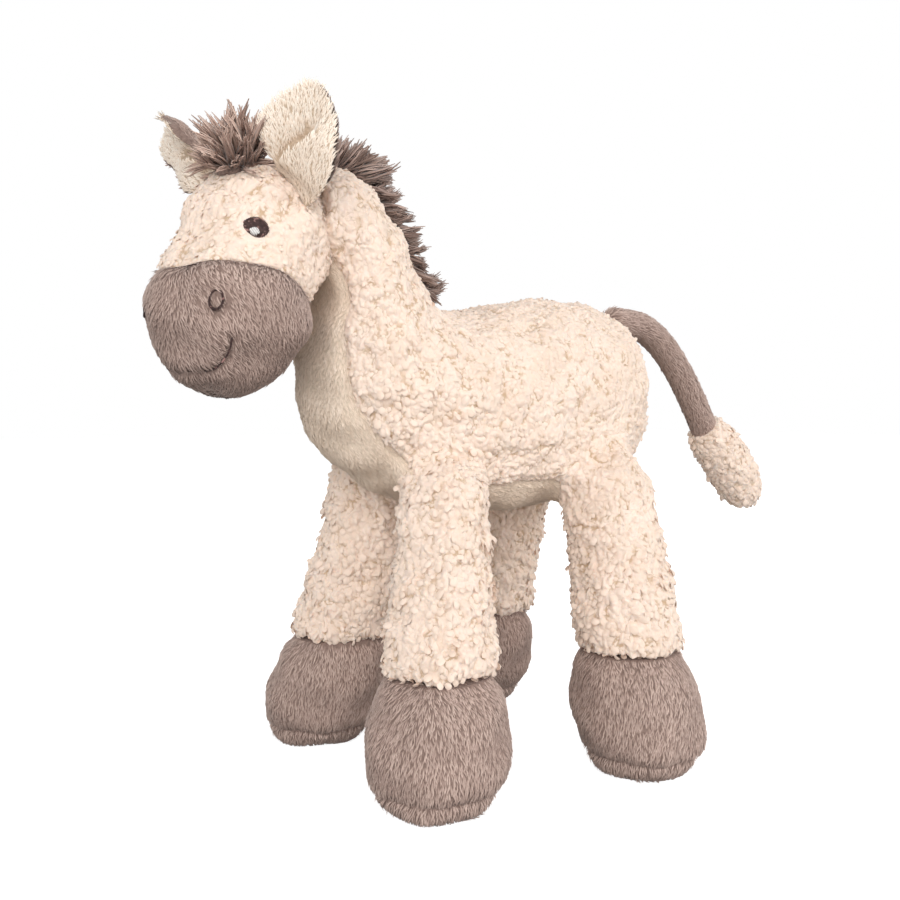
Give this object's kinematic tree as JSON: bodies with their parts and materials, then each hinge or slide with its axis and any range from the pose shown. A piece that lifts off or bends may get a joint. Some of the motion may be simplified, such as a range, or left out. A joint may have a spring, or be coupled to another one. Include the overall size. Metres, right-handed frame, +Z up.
{
  "type": "plush horse",
  "caption": "Standing stuffed horse with a curly fleece cover, smooth muzzle and hooves, long-pile mane and forelock, and legs, head, ears and tail that bend and spring back.",
  "frame": {"origin": "middle of the bounding box in X and Y, on the floor that the soles stand on", "axes": "+Z up, -Y the way the trunk faces, +X the horse's left side"},
  "size_m": [0.2076, 0.3924, 0.3148],
  "materials": {
    "cream_curly_fleece": "curly sherpa fleece",
    "ivory_short_pile": "short velboa pile",
    "taupe_short_pile": "short brushed pile",
    "taupe_long_pile": "long shaggy pile",
    "white_fibre": "loose polyester fibre",
    "dark_brown_thread": "satin stitch embroidery",
    "white_thread": "satin stitch embroidery"
  },
  "bodies": {
    "trunk": {"body_filling": "white_fibre", "body_panel_left": "cream_curly_fleece", "body_panel_right": "cream_curly_fleece", "belly_gusset": "ivory_short_pile", "neck_mane": "taupe_long_pile"},
    "neck": {"neck_wadding": "white_fibre"},
    "head": {"head_filling": "white_fibre", "head_cover_left": "cream_curly_fleece", "head_cover_right": "cream_curly_fleece", "muzzle_cover": "taupe_short_pile", "forelock": "taupe_long_pile", "eye_left": "dark_brown_thread", "eye_right": "dark_brown_thread", "eye_glint_left": "white_thread", "eye_glint_right": "white_thread", "nostril_left": "dark_brown_thread", "nostril_right": "dark_brown_thread", "mouth_stitching": "dark_brown_thread"},
    "ear_left": {"ear_left_lining": "ivory_short_pile", "ear_left_back": "taupe_short_pile"},
    "ear_right": {"ear_right_lining": "ivory_short_pile", "ear_right_back": "taupe_short_pile"},
    "leg_front_left": {"leg_front_left_filling": "white_fibre", "leg_front_left_sleeve": "cream_curly_fleece", "leg_front_left_hoof": "taupe_short_pile", "leg_front_left_sole": "taupe_short_pile"},
    "leg_front_right": {"leg_front_right_filling": "white_fibre", "leg_front_right_sleeve": "cream_curly_fleece", "leg_front_right_hoof": "taupe_short_pile", "leg_front_right_sole": "taupe_short_pile"},
    "leg_hind_left": {"leg_hind_left_filling": "white_fibre", "leg_hind_left_sleeve": "cream_curly_fleece", "leg_hind_left_hoof": "taupe_short_pile", "leg_hind_left_sole": "taupe_short_pile"},
    "leg_hind_right": {"leg_hind_right_filling": "white_fibre", "leg_hind_right_sleeve": "cream_curly_fleece", "leg_hind_right_hoof": "taupe_short_pile", "leg_hind_right_sole": "taupe_short_pile"},
    "tail": {"tail_tube": "taupe_short_pile", "tail_tube_filling": "white_fibre"},
    "tail_end": {"tail_tuft": "cream_curly_fleece", "tail_tuft_filling": "white_fibre"}
  },
  "joints": [
    {"name": "head_nod", "type": "hinge", "parent": "trunk", "child": "neck", "pos_m": [0, -0.1451, 0.255], "axis": [1, 0, 0], "range_deg": [-20, 8], "stiffness_Nm_per_rad": 0.3},
    {"name": "head_turn", "type": "hinge", "parent": "neck", "child": "head", "pos_m": [0, -0.1451, 0.255], "axis": [0, 0, 1], "range_deg": [-40, 10], "stiffness_Nm_per_rad": 0.15},
    {"name": "ear_left_fold", "type": "hinge", "parent": "head", "child": "ear_left", "pos_m": [0.03301, -0.13746, 0.27589], "axis": [0.375, 0.5241, -0.7647], "range_deg": [-30, 30], "stiffness_Nm_per_rad": 0.012},
    {"name": "ear_right_fold", "type": "hinge", "parent": "head", "child": "ear_right", "pos_m": [-0.03119, -0.15832, 0.27589], "axis": [0.6114, -0.2036, 0.7647], "range_deg": [-30, 30], "stiffness_Nm_per_rad": 0.012},
    {"name": "hip_front_left", "type": "hinge", "parent": "trunk", "child": "leg_front_left", "pos_m": [0.0375, -0.0686, 0.135], "axis": [1, 0, 0], "range_deg": [-22, 22], "stiffness_Nm_per_rad": 0.45},
    {"name": "hip_front_right", "type": "hinge", "parent": "trunk", "child": "leg_front_right", "pos_m": [-0.0375, -0.0686, 0.135], "axis": [1, 0, 0], "range_deg": [-22, 22], "stiffness_Nm_per_rad": 0.45},
    {"name": "hip_hind_left", "type": "hinge", "parent": "trunk", "child": "leg_hind_left", "pos_m": [0.041, 0.0309, 0.135], "axis": [1, 0, 0], "range_deg": [-22, 22], "stiffness_Nm_per_rad": 0.45},
    {"name": "hip_hind_right", "type": "hinge", "parent": "trunk", "child": "leg_hind_right", "pos_m": [-0.041, 0.0309, 0.135], "axis": [1, 0, 0], "range_deg": [-22, 22], "stiffness_Nm_per_rad": 0.45},
    {"name": "tail_wag", "type": "hinge", "parent": "trunk", "child": "tail", "pos_m": [0, 0.07345, 0.2278], "axis": [0, 0, 1], "range_deg": [-30, 30], "stiffness_Nm_per_rad": 0.03},
    {"name": "tail_end_bend", "type": "hinge", "parent": "tail", "child": "tail_end", "pos_m": [0, 0.14945, 0.1658], "axis": [1, 0, 0], "range_deg": [-25, 25], "stiffness_Nm_per_rad": 0.015}
  ]
}
